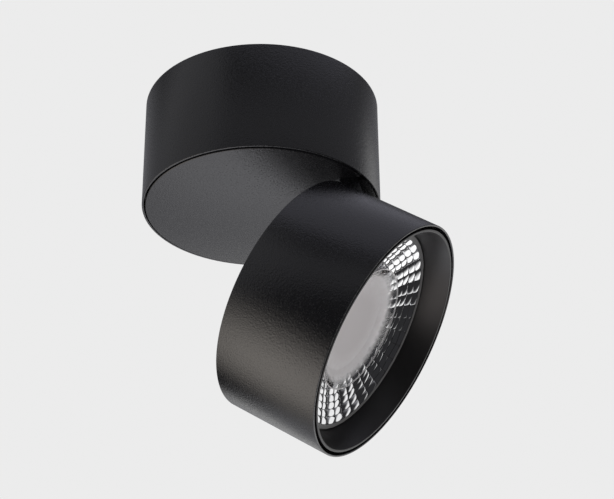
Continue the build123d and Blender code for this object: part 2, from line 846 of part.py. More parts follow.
base_pieces = {
    "ceiling_bracket": make_ceiling_bracket(),
    "inlet_grommet": make_inlet_grommet(),
    "earth_screw": make_earth_screw(),
    "base_housing": make_base_housing(),
    "locking_screw": make_locking_screw(),
    "terminal_block": make_terminal_block(),
    "terminal_screws": make_terminal_screws(),
    "driver_case": make_driver_case(),
    "driver_board": make_driver_board(),
    "driver_lid": make_driver_lid(),
    "driver_screws": make_driver_screws(),
}

turntable_pieces = {
    "turntable_plate": make_turntable_plate(),
    "swivel_friction_ring": make_swivel_friction_ring(),
    "swivel_disc_spring": make_swivel_disc_spring(),
    "swivel_nut": make_swivel_nut(),
    "stop_pin": make_stop_pin(),
    "hinge_yoke": make_hinge_yoke(),
    "yoke_screws": make_yoke_screws(),
    "hinge_pin": make_hinge_pin(),
    "hinge_washers": make_hinge_washers(),
    "plate_grommet": make_plate_grommet(),
}

head_pieces = {
    "head_housing": make_head_housing(),
    "rear_cover": make_rear_cover(),
    "rear_cover_screws": make_rear_cover_screws(),
    "head_grommet": make_head_grommet(),
    "hinge_lug": make_hinge_lug(),
    "lug_screws": make_lug_screws(),
    "heat_sink": make_heat_sink(),
    "led_board": make_led_board(),
    "led_emitter": make_led_emitter(),
    "led_holder": make_led_holder(),
    "holder_screws": make_holder_screws(),
    "reflector_cup": make_reflector_cup(),
    "lens": make_lens(),
    "cup_retainer": make_cup_retainer(),
    "baffle": make_baffle(),
}

# The folded head is swung out about the hinge axis to its place at rest.
swing = Pos(hinge_x, 0, hinge_z) * Rot(0, -rest_tilt, 0) * Pos(-hinge_x, 0, hinge_depth)
head_pieces = {name: swing * piece for name, piece in head_pieces.items()}

os.makedirs("parts", exist_ok=True)
for name, piece in {**base_pieces, **turntable_pieces, **head_pieces}.items():
    export_step(piece, f"parts/{name}.step")
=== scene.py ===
"""Looks of a round surface mounted ceiling spot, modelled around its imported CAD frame.

The CAD frame gives the places, the moving bodies and the small hardware. The shells, the plate, the baffle,
the lens and the reflector cup are modelled here again with finer edges and facets, and every piece gets a
procedural finish.
"""

import json
import logging
import math
from contextlib import contextmanager
from dataclasses import dataclass, field, replace
from enum import Enum
from typing import Any, Callable, Iterator, Sequence

import bpy
from mathutils import Matrix, Vector


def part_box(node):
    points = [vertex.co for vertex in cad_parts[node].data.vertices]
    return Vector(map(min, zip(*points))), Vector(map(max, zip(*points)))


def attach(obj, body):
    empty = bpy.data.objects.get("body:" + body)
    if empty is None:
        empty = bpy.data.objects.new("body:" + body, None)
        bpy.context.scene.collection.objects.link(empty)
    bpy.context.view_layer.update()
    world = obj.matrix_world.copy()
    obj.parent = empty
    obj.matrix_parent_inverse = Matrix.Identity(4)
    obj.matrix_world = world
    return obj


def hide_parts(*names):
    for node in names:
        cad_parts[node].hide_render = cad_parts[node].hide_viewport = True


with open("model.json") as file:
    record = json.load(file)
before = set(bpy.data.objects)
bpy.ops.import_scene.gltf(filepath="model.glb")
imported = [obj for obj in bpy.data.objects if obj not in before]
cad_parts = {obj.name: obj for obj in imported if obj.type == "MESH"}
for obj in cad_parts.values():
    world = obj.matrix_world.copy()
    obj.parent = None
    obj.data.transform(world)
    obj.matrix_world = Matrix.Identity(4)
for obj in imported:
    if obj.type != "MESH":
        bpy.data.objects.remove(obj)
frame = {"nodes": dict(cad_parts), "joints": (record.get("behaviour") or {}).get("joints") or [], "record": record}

LOG = logging.getLogger("ceiling_spot")
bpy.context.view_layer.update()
MM = 0.001

Piece = bpy.types.Object
Socket = bpy.types.NodeSocket
Colour = tuple[float, float, float]
Point = tuple[float, float, float]
Profile = Sequence[tuple[float, float]]

# Corners around turned pieces, and around the holes that are cut in them
AROUND = 256
HOLE_AROUND = 48
# Corners that are closer than this are one
MERGE_GAP = 0.001 * MM
LEAST_ROUGHNESS = 0.05
# What the camera sees around the object
BACKDROP: Colour = (0.838, 0.838, 0.838)


class Body(Enum):
    """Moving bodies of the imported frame."""

    BASE = "base"
    TURNTABLE = "turntable"
    HEAD = "head"


class Slot(Enum):
    """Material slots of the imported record."""

    POWDER = "black_powder_coat"
    BLACK_PLASTIC = "black_plastic"
    LENS = "clear_lens"
    FACETS = "silver_facets"
    ZINC = "zinc_steel"
    DARK_SCREW = "dark_screw"
    BRASS = "brass_terminal"
    ALUMINIUM = "bare_aluminium"
    WHITE_PLASTIC = "white_plastic"
    NYLON = "natural_nylon"
    BOARD = "circuit_board"
    CERAMIC = "led_ceramic"
    PHOSPHOR = "led_phosphor"
    RUBBER = "black_rubber"


class Cut(Enum):
    """Boolean operations of the modelling bench."""

    REMOVE = "DIFFERENCE"
    ADD = "UNION"


class Signal:
    """A shader value that adds Math nodes when it is used in a Python expression."""

    def __init__(self, graph: "Graph", socket: Socket) -> None:
        """Wrap one output socket of a graph."""
        self.graph = graph
        self.socket = socket

    def _math(self, operation: str, first: Any, second: Any) -> "Signal":
        """Add one Math node.

        Args:
            operation: Name of the Math operation.
            first: Left operand, a Signal or a number.
            second: Right operand, a Signal or a number.

        Returns:
            The node's result.
        """
        node = self.graph.node("ShaderNodeMath", {"operation": operation}, {0: first, 1: second})
        return Signal(self.graph, node.outputs[0])

    def __add__(self, other: Any) -> "Signal":
        """Sum of two values."""
        return self._math("ADD", self, other)

    __radd__ = __add__

    def __sub__(self, other: Any) -> "Signal":
        """This value less the other."""
        return self._math("SUBTRACT", self, other)

    def __rsub__(self, other: Any) -> "Signal":
        """The other value less this one."""
        return self._math("SUBTRACT", other, self)

    def __mul__(self, other: Any) -> "Signal":
        """Product of two values."""
        return self._math("MULTIPLY", self, other)

    __rmul__ = __mul__

    def __truediv__(self, other: Any) -> "Signal":
        """This value divided by the other."""
        return self._math("DIVIDE", self, other)

    def __rtruediv__(self, other: Any) -> "Signal":
        """The other value divided by this one."""
        return self._math("DIVIDE", other, self)

    def limited(self, low: float, high: float) -> "Signal":
        """This value kept between two limits."""
        return self._math("MINIMUM", self._math("MAXIMUM", self, low), high)

    def eased(self) -> "Signal":
        """This share from 0 to 1, with a soft start and end."""
        return self * self * (3.0 - 2.0 * self)


class Graph:
    """A node tree that is filled from Python."""

    def __init__(self, tree: bpy.types.NodeTree) -> None:
        """Take a tree and empty it.

        Args:
            tree: The material's or world's node tree.
        """
        self.tree = tree
        tree.nodes.clear()

    def node(self, kind: str, settings: dict[str, Any], sockets: dict[Any, Any]) -> bpy.types.Node:
        """Add a node.

        Args:
            kind: Blender's name of the node type.
            settings: Attributes to set first.
            sockets: Input values or links by name or index.

        Returns:
            The new node.
        """
        node = self.tree.nodes.new(kind)
        for name, value in settings.items():
            setattr(node, name, value)
        for key, value in sockets.items():
            if isinstance(value, Signal):
                value = value.socket
            if isinstance(value, Socket):
                self.tree.links.new(value, node.inputs[key])
            else:
                node.inputs[key].default_value = value
        return node

    def signal(self, node: bpy.types.Node, output: str) -> Signal:
        """One output of a node as a value for expressions."""
        return Signal(self, node.outputs[output])

    def object_place(self) -> Socket:
        """Object coordinates of the surface."""
        return self.node("ShaderNodeTexCoord", {}, {}).outputs["Object"]

    def noise(self, place: Socket, size: float, detail: float) -> Signal:
        """Fractal noise on a place.

        Args:
            place: Coordinates in metres.
            size: Size of the noise's features in metres.
            detail: Number of finer layers.

        Returns:
            The noise from 0 to 1.
        """
        node = self.node("ShaderNodeTexNoise", {}, {"Vector": place, "Scale": 1.0 / size, "Detail": detail})
        return self.signal(node, "Fac")

    def vector(self, operation: str, first: Any, second: Any, output: str = "Vector") -> Socket:
        """Add a Vector Math node.

        Args:
            operation: Name of the operation.
            first: First vector or socket.
            second: Second vector or socket.
            output: The output that is wanted.

        Returns:
            The result.
        """
        node = self.node("ShaderNodeVectorMath", {"operation": operation}, {0: first, 1: second})
        return node.outputs[output]

    def reach(self, place: Socket, centre: Point, axis: Point) -> Signal:
        """Distance of a place from an axis.

        Args:
            place: Coordinates in metres.
            centre: A point on the axis.
            axis: Unit direction of the axis.

        Returns:
            The distance in metres.
        """
        arm = self.vector("SUBTRACT", place, centre)
        across = self.vector("CROSS_PRODUCT", arm, axis)
        return Signal(self, self.vector("LENGTH", across, (0.0, 0.0, 0.0), "Value"))

    def blend(self, share: Any, first: Any, second: Any) -> Socket:
        """Mix two colours.

        Args:
            share: Share of the second colour.
            first: First RGBA colour or socket.
            second: Second RGBA colour or socket.

        Returns:
            The mixed colour.
        """
        node = self.node("ShaderNodeMix", {"data_type": "RGBA"}, {0: share, 6: first, 7: second})
        return node.outputs[2]

    def bump(self, height: Signal, relief: float) -> Socket:
        """Normal that is roughened by a height.

        Args:
            height: Height from 0 to 1.
            relief: Rise in metres at a height of 1.

        Returns:
            The normal.
        """
        sockets = {"Strength": 1.0, "Distance": relief, "Height": height}
        return self.node("ShaderNodeBump", {}, sockets).outputs["Normal"]

    def principled(self, sockets: dict[str, Any]) -> Socket:
        """A Principled shader with these inputs."""
        return self.node("ShaderNodeBsdfPrincipled", {}, sockets).outputs[0]

    def mixed(self, share: Any, first: Socket, second: Socket) -> Socket:
        """Two shaders, mixed by the second one's share."""
        return self.node("ShaderNodeMixShader", {}, {0: share, 1: first, 2: second}).outputs[0]


# Materials that are made already, by the names of their finishes
MADE: dict[str, bpy.types.Material] = {}


def rgba(colour: Colour) -> tuple[float, float, float, float]:
    """A colour with full alpha."""
    return (*colour, 1.0)


@dataclass(frozen=True)
class Finish:
    """A surface finish that is made once and worn by many pieces."""

    name: str
    colour: Colour
    roughness: float

    def material(self) -> bpy.types.Material:
        """The finish's material, made at its first use.

        Returns:
            The material.
        """
        found = MADE.get(self.name)
        if found is not None:
            return found
        material = bpy.data.materials.new(self.name)
        MADE[self.name] = material
        material.use_nodes = True
        graph = Graph(material.node_tree)
        graph.node("ShaderNodeOutputMaterial", {}, {"Surface": self.surface(graph)})
        return material

    def surface(self, graph: Graph) -> Socket:
        """The finish's shader."""
        return graph.principled(self.sockets(graph))

    def sockets(self, graph: Graph) -> dict[str, Any]:
        """Inputs of the shader.

        Args:
            graph: The material's graph.

        Returns:
            Values and links by socket name.
        """
        raise NotImplementedError

    def shaded(self, share: float) -> tuple[float, float, float, float]:
        """The finish's colour, darker or paler by a share, with full alpha."""
        return rgba(tuple(channel * share for channel in self.colour))

    def gloss(self, change: Signal) -> Signal:
        """The finish's roughness with a change over the surface."""
        return (self.roughness + change).limited(LEAST_ROUGHNESS, 1.0)

    def wear(self, piece: Piece) -> None:
        """Give a whole piece this finish."""
        piece.data.materials.clear()
        piece.data.materials.append(self.material())


@dataclass(frozen=True)
class PowderCoat(Finish):
    """Fine textured powder coat with a slight sparkle on its grains."""

    grain: float = 0.66 * MM
    relief: float = 0.13 * MM
    peel: float = 2.6 * MM
    peel_share: float = 0.2
    pale_gain: float = 1.7
    pale_start: float = 0.35
    pale_rise: float = 1.6
    gloss_spread: float = 0.45
    specular: float = 0.6

    def sockets(self, graph: Graph) -> dict[str, Any]:
        """Grain in the relief, the gloss and, faintly, in the colour.

        Args:
            graph: The material's graph.

        Returns:
            Values and links by socket name.
        """
        place = graph.object_place()
        grain = graph.noise(place, self.grain, detail=2.0)
        peel = graph.noise(place, self.peel, detail=1.0)
        height = grain * (1.0 - self.peel_share) + peel * self.peel_share
        shade = ((grain - self.pale_start) * self.pale_rise).limited(0.0, 1.0)
        return {
            "Base Color": graph.blend(shade, rgba(self.colour), self.shaded(self.pale_gain)),
            "Roughness": self.gloss((grain - 0.5) * self.gloss_spread),
            "Normal": graph.bump(height, self.relief),
            "Specular IOR Level": self.specular,
        }


@dataclass(frozen=True)
class MouldedPlastic(Finish):
    """Moulded plastic with a fine spark eroded texture."""

    grain: float = 0.4 * MM
    relief: float = 0.02 * MM
    mottle: float = 6.0 * MM
    contrast: float = 0.12
    gloss_spread: float = 0.1

    def sockets(self, graph: Graph) -> dict[str, Any]:
        """Fine relief, and a faint mottle in colour and gloss.

        Args:
            graph: The material's graph.

        Returns:
            Values and links by socket name.
        """
        place = graph.object_place()
        grain = graph.noise(place, self.grain, detail=2.0)
        mottle = graph.noise(place, self.mottle, detail=3.0)
        return {
            "Base Color": graph.blend(mottle, self.shaded(1.0 - self.contrast), rgba(self.colour)),
            "Roughness": self.gloss((mottle - 0.5) * self.gloss_spread),
            "Normal": graph.bump(grain, self.relief),
        }


@dataclass(frozen=True)
class PlatedMetal(Finish):
    """Bare or plated metal with fine drawn lines and a cloudy plating."""

    line: float = 0.3 * MM
    line_stretch: float = 0.06
    line_gloss: float = 0.14
    cloud: float = 5.0 * MM
    cloud_tone: float = 0.8
    cloud_gloss: float = 0.12
    relief: float = 0.01 * MM

    def sockets(self, graph: Graph) -> dict[str, Any]:
        """Lines in the relief and the gloss, clouds in the colour.

        Args:
            graph: The material's graph.

        Returns:
            Values and links by socket name.
        """
        place = graph.object_place()
        stretched = graph.node(
            "ShaderNodeMapping", {}, {"Vector": place, "Scale": (self.line_stretch, 1.0, 1.0)}
        ).outputs["Vector"]
        lines = graph.noise(stretched, self.line, detail=2.0)
        clouds = graph.noise(place, self.cloud, detail=3.0)
        return {
            "Base Color": graph.blend(clouds, self.shaded(self.cloud_tone), rgba(self.colour)),
            "Metallic": 1.0,
            "Roughness": self.gloss((lines - 0.5) * self.line_gloss + (clouds - 0.5) * self.cloud_gloss),
            "Normal": graph.bump(lines, self.relief),
        }


@dataclass(frozen=True)
class LensPlastic(Finish):
    """Clear lens plastic with a frosted middle that is painted paler in beads towards its border as a glow of
    highlights, and a frosted outer edge.
    """

    centre: Point = (0.0, 0.0, 0.0)
    axis: Point = (0.0, 0.0, 1.0)
    frost_colour: Colour = (0.88, 0.845, 0.83)
    frost_roughness: float = 0.42
    frost_clearness: float = 0.35
    frost_radius: float = 24.4 * MM
    frost_blur: float = 2.6 * MM
    mottle: float = 1.5 * MM
    mottle_reach: float = 2.0 * MM
    # Colour, start and width of the painted glow near the frost's border, and the size and gain of its beaded
    # highlights
    painted_glow_colour: Colour = (1.0, 0.985, 0.97)
    painted_glow_start: float = 12.0 * MM
    painted_glow_width: float = 9.0 * MM
    glint_bead_size: float = 2.2 * MM
    glint_bead_gain: float = 1.6
    edge_radius: float = 25.8 * MM
    edge_blur: float = 0.05 * MM
    ior: float = 1.49

    def surface(self, graph: Graph) -> Socket:
        """The clear and the frosted plastic, mixed by the distance from the lens's axis.

        Args:
            graph: The material's graph.

        Returns:
            The shader.
        """
        place = graph.object_place()
        mottle = graph.noise(place, self.mottle, detail=3.0)
        reach = graph.reach(place, self.centre, self.axis)
        middle = (self.frost_radius - reach + (mottle - 0.5) * self.mottle_reach) / self.frost_blur
        edge = (reach - self.edge_radius) / self.edge_blur
        frosted = middle.limited(0.0, 1.0) + edge.limited(0.0, 1.0)
        # Painted glow: the frost is painted paler in beads towards its border, standing in for the facets'
        # highlights shining through it
        painted_glint_beads = graph.noise(place, self.glint_bead_size, detail=1.0) * self.glint_bead_gain
        painted_glow = ((reach - self.painted_glow_start) / self.painted_glow_width * painted_glint_beads).limited(0.0, 1.0)
        clear = graph.principled({
            "Base Color": rgba(self.colour), "Roughness": self.roughness, "Transmission Weight": 1.0,
            "IOR": self.ior,
        })
        frost = graph.principled({
            "Base Color": graph.blend(painted_glow, rgba(self.frost_colour), rgba(self.painted_glow_colour)),
            "Roughness": self.frost_roughness, "Transmission Weight": self.frost_clearness, "IOR": self.ior,
        })
        return graph.mixed(frosted, clear, frost)


@dataclass(frozen=True)
class Phosphor(Finish):
    """Yellow phosphor gel of the light source, with a faint grid of dies."""

    die: float = 1.4 * MM
    seam_rise: float = 6.0
    seam_tone: float = 0.85

    def sockets(self, graph: Graph) -> dict[str, Any]:
        """Dies under the gel, with darker seams between them.

        Args:
            graph: The material's graph.

        Returns:
            Values and links by socket name.
        """
        cells = graph.node("ShaderNodeTexVoronoi", {"feature": "DISTANCE_TO_EDGE"}, {
            "Vector": graph.object_place(), "Scale": 1.0 / self.die,
        })
        inside = (graph.signal(cells, "Distance") * self.seam_rise).limited(0.0, 1.0)
        return {
            "Base Color": graph.blend(inside, self.shaded(self.seam_tone), rgba(self.colour)),
            "Roughness": self.roughness,
        }


@dataclass(frozen=True)
class CircuitBoard(Finish):
    """Solder mask over copper tracks."""

    track: float = 1.6 * MM
    tracks_per_wave: float = 6.0
    wander: float = 1.5
    track_start: float = 0.45
    track_rise: float = 8.0
    pale_gain: float = 1.5
    relief: float = 0.03 * MM

    def sockets(self, graph: Graph) -> dict[str, Any]:
        """Tracks that show as paler and slightly raised strips.

        Args:
            graph: The material's graph.

        Returns:
            Values and links by socket name.
        """
        bands = graph.node("ShaderNodeTexWave", {"wave_type": "BANDS"}, {
            "Vector": graph.object_place(), "Scale": 1.0 / (self.track * self.tracks_per_wave),
            "Distortion": self.wander, "Detail": 0.0,
        })
        track = ((graph.signal(bands, "Fac") - self.track_start) * self.track_rise).limited(0.0, 1.0)
        return {
            "Base Color": graph.blend(track, rgba(self.colour), self.shaded(self.pale_gain)),
            "Roughness": self.roughness,
            "Normal": graph.bump(track, self.relief),
        }


@dataclass(frozen=True)
class StudioFloor(Finish):
    """Matt floor that the camera sees nearly in the backdrop's colour."""

    deep: Colour = (0.8, 0.8, 0.8)
    mottle: float = 0.5
    seen_colour: Colour = BACKDROP
    paleness: float = 0.85

    def surface(self, graph: Graph) -> Socket:
        """A matt shader for the light, and mostly an even colour for the camera.

        Args:
            graph: The material's graph.

        Returns:
            The shader.
        """
        tone = graph.noise(graph.object_place(), self.mottle, detail=2.0)
        matt = graph.principled({
            "Base Color": graph.blend(tone, rgba(self.deep), rgba(self.colour)), "Roughness": self.roughness,
        })
        pale = graph.node("ShaderNodeEmission", {}, {"Color": rgba(self.seen_colour)}).outputs[0]
        seen = graph.signal(graph.node("ShaderNodeLightPath", {}, {}), "Is Camera Ray")
        return graph.mixed(seen * self.paleness, matt, pale)


FINISHES: dict[Slot, Finish] = {
    Slot.POWDER: PowderCoat("powder_coat_finish", (0.0105, 0.0105, 0.0115), 0.22),
    Slot.BLACK_PLASTIC: MouldedPlastic("black_plastic_finish", (0.012, 0.0114, 0.0114), 0.4),
    Slot.LENS: LensPlastic("clear_lens_finish", (0.97, 0.975, 0.97), 0.015),
    Slot.FACETS: PlatedMetal("silvered_finish", (0.9, 0.9, 0.91), 0.06, relief=0.0),
    Slot.ZINC: PlatedMetal("zinc_finish", (0.62, 0.63, 0.65), 0.34),
    Slot.DARK_SCREW: PlatedMetal("black_oxide_finish", (0.045, 0.045, 0.05), 0.4),
    Slot.BRASS: PlatedMetal("brass_finish", (0.72, 0.55, 0.29), 0.28),
    Slot.ALUMINIUM: PlatedMetal("aluminium_finish", (0.7, 0.71, 0.72), 0.45),
    Slot.WHITE_PLASTIC: MouldedPlastic("white_plastic_finish", (0.8, 0.8, 0.78), 0.5),
    Slot.NYLON: MouldedPlastic("nylon_finish", (0.78, 0.75, 0.66), 0.42),
    Slot.BOARD: CircuitBoard("circuit_board_finish", (0.03, 0.14, 0.06), 0.35),
    Slot.CERAMIC: MouldedPlastic("ceramic_finish", (0.82, 0.82, 0.81), 0.45, contrast=0.05),
    Slot.PHOSPHOR: Phosphor("phosphor_finish", (0.85, 0.62, 0.1), 0.25),
    Slot.RUBBER: MouldedPlastic("rubber_finish", (0.012, 0.012, 0.012), 0.62, grain=0.3 * MM),
}
RIM_GREY = MouldedPlastic("grey_rim_finish", (0.17, 0.17, 0.166), 0.35)
FLOOR = StudioFloor("studio_floor", (0.84, 0.84, 0.84), 0.9)


class Bench:
    """Modelling bench: Blender's own operators, one step each."""

    @staticmethod
    def take(piece: Piece) -> None:
        """Make a piece the only selected and active one.

        Args:
            piece: The piece.
        """
        bpy.ops.object.select_all(action="DESELECT")
        piece.select_set(True)
        bpy.context.view_layer.objects.active = piece

    @classmethod
    @contextmanager
    def editing(cls, piece: Piece) -> Iterator[None]:
        """Edit mode on one piece, left again at the end.

        Args:
            piece: The piece.
        """
        cls.take(piece)
        bpy.ops.object.mode_set(mode="EDIT")
        try:
            yield
        finally:
            bpy.ops.object.mode_set(mode="OBJECT")

    @staticmethod
    def ring(name: str, radius: float, height: float, count: int) -> Piece:
        """Add a circle on the Z axis as the start of a turned piece.

        Args:
            name: Name of the piece.
            radius: Radius of the circle.
            height: Its place on the Z axis.
            count: Number of corners.

        Returns:
            The new piece.
        """
        bpy.ops.object.select_all(action="DESELECT")
        bpy.context.tool_settings.mesh_select_mode = (True, False, False)
        bpy.ops.mesh.primitive_circle_add(vertices=count, radius=radius, location=(0.0, 0.0, height))
        piece = bpy.context.object
        piece.name = name
        piece.data.name = name
        bpy.ops.object.transform_apply(location=True, rotation=True, scale=True)
        return piece

    @classmethod
    def turn(cls, name: str, outline: Profile, count: int) -> Piece:
        """Turn a closed piece from its outline, ring by ring.

        Args:
            name: Name of the piece.
            outline: Radius and height of each corner. An outline that starts and ends on the axis is
                closed by poles, any other by a last wall back to its first ring.
            count: Number of corners around.

        Returns:
            The piece.
        """
        on_axis = outline[0][0] == 0.0
        rings = list(outline[1:-1]) if on_axis else [*outline, outline[0]]
        radius, height = rings[0]
        piece = cls.ring(name, radius, height, count)
        with cls.editing(piece):
            bpy.ops.mesh.select_all(action="SELECT")
            for next_radius, next_height in rings[1:]:
                step = {"value": (0.0, 0.0, next_height - height)}
                bpy.ops.mesh.extrude_edges_move(TRANSFORM_OT_translate=step)
                share = next_radius / radius
                bpy.ops.transform.resize(value=(share, share, 1.0), center_override=(0.0, 0.0, next_height))
                radius, height = next_radius, next_height
            if on_axis:
                cls._pole(outline[-1][1] - height)
        if on_axis:
            cls.select_points(piece, lambda index, point: index < count)
            with cls.editing(piece):
                cls._pole(outline[0][1] - rings[0][1])
        cls.heal(piece)
        return piece

    @staticmethod
    def _pole(rise: float) -> None:
        """Close the selected ring with a pole.

        Args:
            rise: Height of the pole above the ring.
        """
        bpy.ops.mesh.extrude_edges_move(TRANSFORM_OT_translate={"value": (0.0, 0.0, rise)})
        bpy.ops.mesh.merge(type="CENTER")

    @classmethod
    def heal(cls, piece: Piece) -> None:
        """Merge doubles, drop faces without an area and turn every face outwards.

        Args:
            piece: The piece.
        """
        with cls.editing(piece):
            bpy.ops.mesh.select_all(action="SELECT")
            bpy.ops.mesh.remove_doubles(threshold=MERGE_GAP)
            bpy.ops.mesh.dissolve_degenerate(threshold=MERGE_GAP)
            bpy.ops.mesh.normals_make_consistent(inside=False)

    @staticmethod
    def select_points(piece: Piece, wanted: Callable[[int, Vector], bool]) -> None:
        """Select vertices in object mode.

        Args:
            piece: The piece.
            wanted: Test of a vertex by its index and place.
        """
        bpy.context.tool_settings.mesh_select_mode = (True, False, False)
        mesh = piece.data
        for polygon in mesh.polygons:
            polygon.select = False
        for vertex in mesh.vertices:
            vertex.select = wanted(vertex.index, vertex.co)
        for edge in mesh.edges:
            edge.select = all(mesh.vertices[index].select for index in edge.vertices)

    @staticmethod
    def select_faces(piece: Piece, wanted: Callable[[Vector, Vector], bool]) -> int:
        """Select faces in object mode.

        Args:
            piece: The piece.
            wanted: Test of a face by its centre and normal.

        Returns:
            The number of selected faces.
        """
        bpy.context.tool_settings.mesh_select_mode = (False, False, True)
        mesh = piece.data
        for vertex in mesh.vertices:
            vertex.select = False
        for edge in mesh.edges:
            edge.select = False
        for polygon in mesh.polygons:
            polygon.select = wanted(polygon.center, polygon.normal)
        return sum(polygon.select for polygon in mesh.polygons)

    @staticmethod
    def block(low: Sequence[float], high: Sequence[float]) -> Piece:
        """Add a block between two corners, for cutting or joining.

        Args:
            low: Lowest corner.
            high: Highest corner.

        Returns:
            The block.
        """
        bpy.ops.object.select_all(action="DESELECT")
        middle = [(a + b) / 2 for a, b in zip(low, high)]
        bpy.ops.mesh.primitive_cube_add(size=1.0, location=middle)
        piece = bpy.context.object
        piece.scale = [b - a for a, b in zip(low, high)]
        bpy.ops.object.transform_apply(location=True, rotation=True, scale=True)
        return piece

    @staticmethod
    def rod(radius: float, start: Sequence[float], end: Sequence[float]) -> Piece:
        """Add a round rod between two points, for cutting or joining.

        Args:
            radius: Radius of the rod.
            start: Middle of one end.
            end: Middle of the other end.

        Returns:
            The rod.
        """
        bpy.ops.object.select_all(action="DESELECT")
        a, b = Vector(start), Vector(end)
        bpy.ops.mesh.primitive_cylinder_add(vertices=HOLE_AROUND, radius=radius, depth=(b - a).length)
        piece = bpy.context.object
        turn = (b - a).to_track_quat("Z", "Y").to_matrix().to_4x4()
        piece.matrix_world = Matrix.Translation((a + b) / 2) @ turn
        bpy.ops.object.transform_apply(location=True, rotation=True, scale=True)
        return piece

    @classmethod
    def combine(cls, piece: Piece, tool: Piece, how: Cut) -> None:
        """Cut a tool out of a piece or join it on, drop the tool and heal the piece.

        Args:
            piece: The piece to change.
            tool: The shape to remove or add.
            how: The operation.
        """
        modifier = piece.modifiers.new("combine", "BOOLEAN")
        modifier.operation = how.value
        modifier.solver = "EXACT"
        modifier.object = tool
        cls.take(piece)
        bpy.ops.object.modifier_apply(modifier=modifier.name)
        bpy.data.objects.remove(tool)
        with cls.editing(piece):
            bpy.ops.mesh.select_all(action="SELECT")
            bpy.ops.mesh.quads_convert_to_tris(quad_method="BEAUTY", ngon_method="BEAUTY")
        cls.heal(piece)

    @classmethod
    def break_edges(cls, piece: Piece, width: float, steps: int = 3, angle: float = 28.0) -> None:
        """Round the sharp edges of a piece.

        Args:
            piece: The piece.
            width: Width of the rounding.
            steps: Number of faces across it.
            angle: Smallest angle in degrees of an edge that is rounded.
        """
        modifier = piece.modifiers.new("edge", "BEVEL")
        modifier.width = width
        modifier.segments = steps
        modifier.limit_method = "ANGLE"
        modifier.angle_limit = math.radians(angle)
        cls.take(piece)
        bpy.ops.object.modifier_apply(modifier=modifier.name)

    @classmethod
    def place(cls, piece: Piece, place: Matrix) -> None:
        """Move a piece to its place in the frame, in its mesh.

        Args:
            piece: The piece.
            place: Its place.
        """
        piece.matrix_world = place
        cls.take(piece)
        bpy.ops.object.transform_apply(location=True, rotation=True, scale=True)

    @classmethod
    def smooth(cls, piece: Piece, angle: float = 30.0) -> None:
        """Shade a piece smooth across all but its sharp edges.

        Args:
            piece: The piece.
            angle: Smallest angle in degrees of an edge that stays sharp.
        """
        cls.take(piece)
        bpy.ops.object.shade_smooth_by_angle(angle=math.radians(angle))


def keep(piece: Piece, body: Body, slot: Slot, node: str) -> None:
    """Enter a finished piece in the frame, in its slot's finish unless it wears another.

    Args:
        piece: The piece.
        body: The body that it rides on.
        slot: The record's slot of its finish.
        node: CAD node that it stands for.
    """
    if not piece.data.materials:
        FINISHES[slot].wear(piece)
    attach(piece, body.value)
    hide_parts(node)
    LOG.info("%s rides on %s and stands for %s", piece.name, body.value, node)


def size_of(node: str) -> Vector:
    """Sides of a CAD node's box."""
    low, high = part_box(node)
    return high - low


@dataclass
class BaseShell:
    """Upper cylinder on the ceiling, with its inner floor."""

    radius: float
    height: float
    floor_top: float
    floor_thickness: float = 3.0 * MM
    wall: float = 1.7 * MM
    edge: float = 0.2 * MM
    lower_rim: float = 0.85 * MM
    lower_rim_depth: float = 5.0 * MM
    hub_hole: float = 9.05 * MM
    ledge_half: float = 6.0 * MM
    ledge_depth: float = 4.0 * MM
    ledge_span: tuple[float, float] = (-9.4 * MM, -6.4 * MM)
    screw_drop: float = 8.0 * MM
    screw_hole: float = 1.65 * MM

    def build(self) -> Piece:
        """Turn the shell, add the hook ledge and bore the locking screw's hole.

        Returns:
            The finished shell.
        """
        bore = self.radius - self.wall
        mouth = self.radius - self.lower_rim
        step = self.lower_rim_depth - self.height
        floor_bottom = self.floor_top - self.floor_thickness
        shell = Bench.turn("base_shell", [
            (bore, 0.0), (self.radius, 0.0), (self.radius, -self.height), (mouth, -self.height),
            (mouth, step), (bore, step), (bore, floor_bottom), (self.hub_hole, floor_bottom),
            (self.hub_hole, self.floor_top), (bore, self.floor_top),
        ], AROUND)
        Bench.break_edges(shell, self.edge)
        low, high = self.ledge_span
        ledge = Bench.block((-self.ledge_half, -bore - self.wall / 2, low),
                            (self.ledge_half, self.ledge_depth - bore, high))
        Bench.combine(shell, ledge, Cut.ADD)
        hole = Bench.rod(self.screw_hole, (0.0, bore - self.wall, -self.screw_drop),
                         (0.0, self.radius + self.wall, -self.screw_drop))
        Bench.combine(shell, hole, Cut.REMOVE)
        Bench.smooth(shell)
        return shell

    def dress(self) -> None:
        """Build the shell and give it its finish."""
        keep(self.build(), Body.BASE, Slot.POWDER, "base_housing")


